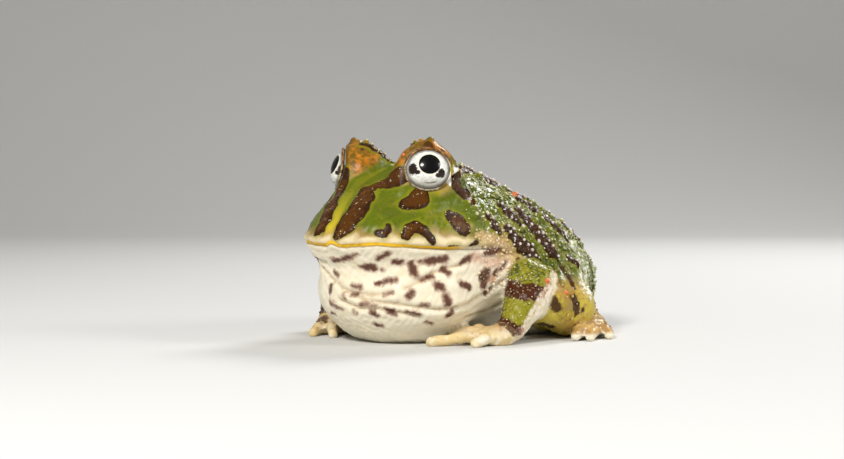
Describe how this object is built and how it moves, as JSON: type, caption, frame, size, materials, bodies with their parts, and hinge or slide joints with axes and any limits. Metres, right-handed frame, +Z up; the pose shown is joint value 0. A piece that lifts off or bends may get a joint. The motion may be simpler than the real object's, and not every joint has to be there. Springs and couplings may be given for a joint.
{
  "type": "argentine horned frog",
  "caption": "Still, life-size horned frog sitting at rest: broad head with a very wide mouth, raised eyes with pointed lids, warty back, folded hind legs.",
  "frame": {"origin": "centre of the animal's bounding box, at the floor it sits on", "axes": "+X to the frog's left, -Y the way it faces, +Z up"},
  "size_m": [0.0534, 0.0595, 0.0345],
  "materials": {
    "head_skin": "moist, smooth skin, green with brown dark-edged stripes and spots",
    "throat_skin": "moist, folded cream skin with small purplish-brown flecks",
    "back_skin": "moist, warty skin, green with dark red-brown patches and pale wart tips",
    "lid_skin": "moist skin, orange-brown",
    "limb_skin": "moist, finely warty skin, yellow-green with brown bands",
    "hand_skin": "moist, smooth skin, cream with brown",
    "eye": "clear, wet, silver-white iris with a black pupil"
  },
  "bodies": {
    "root": {"head": "head_skin", "lower_jaw": "throat_skin", "torso": "back_skin", "eye_left": "eye", "eye_right": "eye", "horn_left": "lid_skin", "horn_right": "lid_skin", "upper_arm_left": "limb_skin", "upper_arm_right": "limb_skin", "forearm_left": "limb_skin", "forearm_right": "limb_skin", "hand_left": "hand_skin", "hand_right": "hand_skin", "thigh_left": "limb_skin", "thigh_right": "limb_skin", "shank_left": "limb_skin", "shank_right": "limb_skin", "foot_left": "hand_skin", "foot_right": "hand_skin"}
  },
  "joints": []
}
